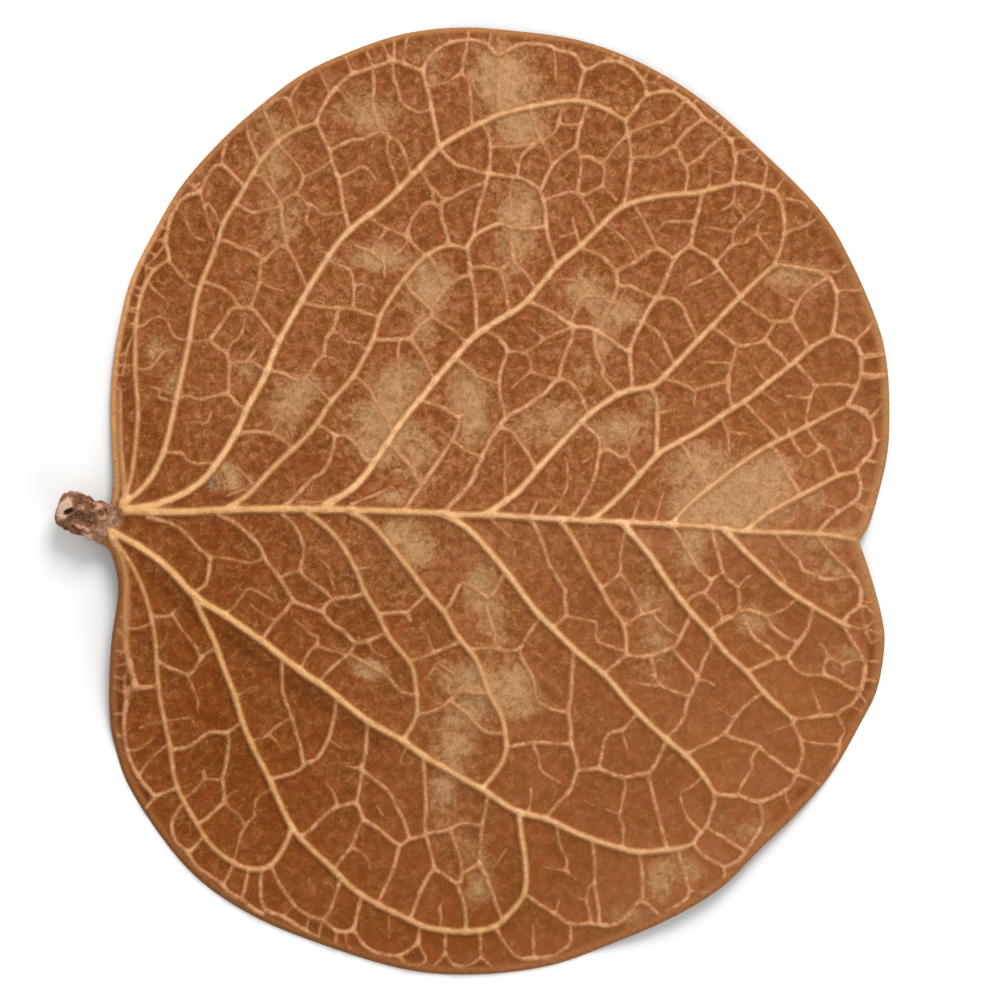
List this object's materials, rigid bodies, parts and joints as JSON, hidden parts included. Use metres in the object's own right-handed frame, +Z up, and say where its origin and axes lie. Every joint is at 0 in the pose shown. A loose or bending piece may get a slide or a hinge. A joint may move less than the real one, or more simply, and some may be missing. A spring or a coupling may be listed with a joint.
{
  "type": "dried orchid tree leaf",
  "caption": "Dried rounded leaf with a shallow notch at the tip, raised net of veins on its upturned underside, gently waved margin and a short corky stalk stump.",
  "frame": {"origin": "middle of the bounding box at its base, on the surface that the leaf lies on", "axes": "+X along the midrib from the stalk stump to the notched tip, +Y across the blade, +Z up out of the veined underside"},
  "size_m": [0.0836, 0.0948, 0.006],
  "materials": {
    "leaf": "dull, leathery, russet with tan veins"
  },
  "bodies": {
    "root": {"leaf": "leaf"}
  },
  "joints": []
}
